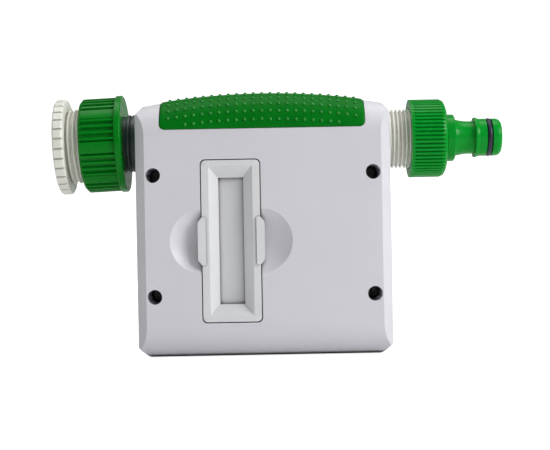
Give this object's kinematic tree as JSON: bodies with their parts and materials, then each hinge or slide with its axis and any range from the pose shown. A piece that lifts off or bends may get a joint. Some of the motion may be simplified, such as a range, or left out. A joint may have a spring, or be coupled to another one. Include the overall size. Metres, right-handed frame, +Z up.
{
  "type": "drip irrigation timer",
  "caption": "Battery-powered watering timer with a pull-out battery drawer, soft grip, motor-driven ball valve, swivel threaded inlet and quick-connect outlet.",
  "frame": {"origin": "centre of the flat base that the housing stands on", "axes": "+X the way the water flows, from the inlet nut to the outlet nose; +Z up; -Y the back with the battery drawer; +Y the front with the display"},
  "size_m": [0.1994, 0.0541, 0.1169],
  "materials": {
    "housing_abs": "satin, finely textured",
    "grip_rubber": "soft satin",
    "green_plastic": "semi-gloss",
    "ivory_plastic": "satin",
    "neck_plastic": "satin",
    "black_rubber": "matt",
    "steel": "plated",
    "cell_jacket": "printed film",
    "board_green": "solder mask",
    "black_plastic": "matt",
    "lcd_glass": "gloss",
    "clear_window": "clear",
    "keypad_rubber": "matt",
    "seat_plastic": "waxy",
    "plated_brass": "polished",
    "gear_plastic": "satin",
    "brass": "machined",
    "lead_insulation": "gloss"
  },
  "bodies": {
    "housing": {"rear_cover": "housing_abs", "front_cover": "housing_abs", "housing_seal": "black_rubber", "top_grip": "grip_rubber", "case_screws": "steel", "case_contacts": "steel", "circuit_board": "board_green", "board_parts": "black_plastic", "tact_switches": "black_plastic", "board_screws": "steel", "lcd_panel": "lcd_glass", "display_window": "clear_window", "display_bezel": "green_plastic", "keypad_mat": "keypad_rubber", "inlet_spigot": "neck_plastic", "spigot_ring": "black_rubber", "inlet_washer": "black_rubber", "valve_body": "ivory_plastic", "ball_seats": "seat_plastic", "stem_gland": "black_plastic", "gearbox_base": "black_plastic", "gearbox_lid": "black_plastic", "valve_screws": "steel", "gear_axle": "steel", "drive_motor": "steel", "motor_cap": "seat_plastic", "end_switch": "black_plastic", "motor_leads": "lead_insulation"},
    "swivel_nut": {"swivel_nut": "green_plastic"},
    "adapter_carrier": {"adapter_washer": "black_rubber"},
    "inlet_adapter": {"inlet_adapter": "ivory_plastic"},
    "connector_carrier": {"outlet_washer": "black_rubber"},
    "outlet_connector": {"outlet_connector": "green_plastic", "nose_ring": "black_rubber"},
    "drawer": {"battery_drawer": "housing_abs", "drawer_seal": "black_rubber", "drawer_contacts": "steel", "drawer_springs": "steel", "battery_cell_back": "cell_jacket", "battery_cell_front": "cell_jacket"},
    "valve": {"valve_ball": "plated_brass", "valve_stem": "brass", "stem_ring": "black_rubber", "output_gear": "gear_plastic"},
    "compound_gear": {"compound_gear": "gear_plastic"},
    "motor_rotor": {"motor_pinion": "brass"},
    "button_1": {"button_1": "green_plastic"},
    "button_2": {"button_2": "green_plastic"},
    "button_3": {"button_3": "green_plastic"},
    "button_4": {"button_4": "green_plastic"},
    "button_5": {"button_5": "green_plastic"}
  },
  "joints": [
    {"name": "nut_spin", "type": "hinge", "parent": "housing", "child": "swivel_nut", "pos_m": [-0.0634, 0, 0.0951], "axis": [-0.9992, 0, -0.0401], "continuous": true},
    {"name": "adapter_slide", "type": "slide", "parent": "swivel_nut", "child": "adapter_carrier", "axis": [-0.9992, 0, -0.0401], "range_m": [-0.002, 0.006]},
    {"name": "adapter_turn", "type": "hinge", "parent": "adapter_carrier", "child": "inlet_adapter", "pos_m": [-0.0634, 0, 0.0951], "axis": [-0.9992, 0, -0.0401], "range_deg": [-300, 930]},
    {"name": "connector_slide", "type": "slide", "parent": "housing", "child": "connector_carrier", "axis": [1, 0, 0], "range_m": [0, 0.01]},
    {"name": "connector_turn", "type": "hinge", "parent": "connector_carrier", "child": "outlet_connector", "pos_m": [0.0758, 0, 0.0951], "axis": [1, 0, 0], "range_deg": [0, 1980]},
    {"name": "drawer_slide", "type": "slide", "parent": "housing", "child": "drawer", "axis": [0, -1, 0], "range_m": [0, 0.04]},
    {"name": "button_1_press", "type": "slide", "parent": "housing", "child": "button_1", "axis": [0, -1, 0], "range_m": [0, 0.0008], "stiffness_N_per_m": 300},
    {"name": "button_2_press", "type": "slide", "parent": "housing", "child": "button_2", "axis": [0, -1, 0], "range_m": [0, 0.0008], "stiffness_N_per_m": 300},
    {"name": "button_3_press", "type": "slide", "parent": "housing", "child": "button_3", "axis": [0, -1, 0], "range_m": [0, 0.0008], "stiffness_N_per_m": 300},
    {"name": "button_4_press", "type": "slide", "parent": "housing", "child": "button_4", "axis": [0, -1, 0], "range_m": [0, 0.0008], "stiffness_N_per_m": 300},
    {"name": "button_5_press", "type": "slide", "parent": "housing", "child": "button_5", "axis": [0, -1, 0], "range_m": [0, 0.0008], "stiffness_N_per_m": 300},
    {"name": "valve_turn", "type": "hinge", "parent": "housing", "child": "valve", "pos_m": [0.024, 0, 0.0951], "axis": [0, 0, 1], "range_deg": [0, 90]},
    {"name": "gear_spin", "type": "hinge", "parent": "housing", "child": "compound_gear", "pos_m": [0.0365, 0, 0.056], "axis": [0, 0, 1], "range_deg": [-360, 0]},
    {"name": "motor_spin", "type": "hinge", "parent": "housing", "child": "motor_rotor", "pos_m": [0.024, 0, 0.0525], "axis": [0, 0, 1], "range_deg": [0, 1440]}
  ],
  "couplings": [
    {"joint": "adapter_slide", "follows": "adapter_turn", "m_per_rad": 0.00036749},
    {"joint": "connector_slide", "follows": "connector_turn", "m_per_rad": 0.00028871},
    {"joint": "gear_spin", "follows": "valve_turn", "ratio": -4},
    {"joint": "motor_spin", "follows": "valve_turn", "ratio": 16}
  ]
}
